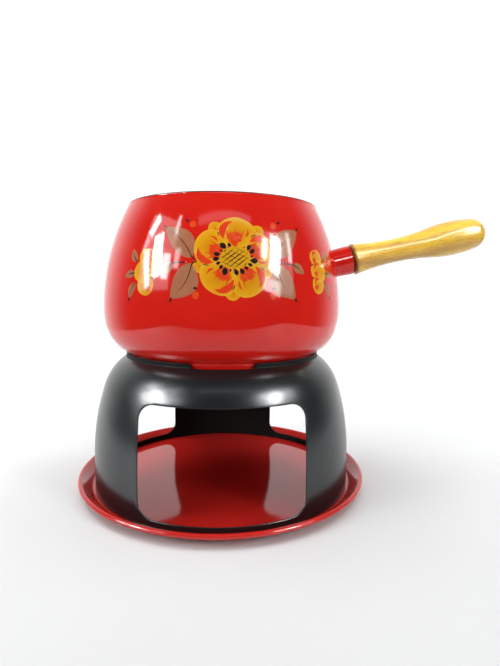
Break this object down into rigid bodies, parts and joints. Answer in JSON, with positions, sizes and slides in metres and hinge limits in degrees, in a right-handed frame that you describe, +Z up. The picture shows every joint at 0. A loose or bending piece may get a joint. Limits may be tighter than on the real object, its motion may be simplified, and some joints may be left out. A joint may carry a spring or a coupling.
{
  "type": "fondue pot set",
  "caption": "Fondue pot set: rounded enamelled pot with a wooden side handle on a windowed ring stand in a dished drip tray.",
  "frame": {"origin": "centre of the tray's flat underside, on the common axis of tray, stand and pot", "axes": "+Z up; +X the way the handle points in plan; -Y the way one of the stand's windows faces"},
  "size_m": [0.3376, 0.235, 0.2239],
  "materials": {
    "tray_enamel": "glossy red enamel on steel",
    "stand_enamel": "satin black enamel on steel",
    "pot_enamel": "glossy red enamel on steel, dark enamel inside",
    "socket_enamel": "glossy red enamel on steel",
    "plug_steel": "turned steel",
    "washer_fibre": "dark brown fibre",
    "stud_steel": "zinc-plated steel",
    "grip_wood": "golden lacquered wood"
  },
  "bodies": {
    "tray": {"tray": "tray_enamel"},
    "stand": {"stand_shell": "stand_enamel"},
    "pot": {"pot_body": "pot_enamel", "handle_socket": "socket_enamel", "socket_plug": "plug_steel"},
    "washer": {"handle_washer": "washer_fibre"},
    "handle": {"handle_grip": "grip_wood", "handle_stud": "stud_steel"}
  },
  "joints": [
    {"name": "stand_lift", "type": "slide", "parent": "tray", "child": "stand", "axis": [0, 0, 1], "range_m": [0, 0.06]},
    {"name": "pot_lift", "type": "slide", "parent": "stand", "child": "pot", "axis": [0, 0, 1], "range_m": [0, 0.09]},
    {"name": "washer_back_off", "type": "slide", "parent": "pot", "child": "washer", "axis": [0.9758, 0, 0.2187], "range_m": [0, 0.009]},
    {"name": "handle_unscrew", "type": "hinge", "parent": "washer", "child": "handle", "pos_m": [0, 0, 0.1602], "axis": [0.9758, 0, 0.2187], "range_deg": [0, 3241]}
  ],
  "couplings": [
    {"joint": "handle_unscrew", "follows": "washer_back_off", "rad_per_m": 6283.2}
  ]
}
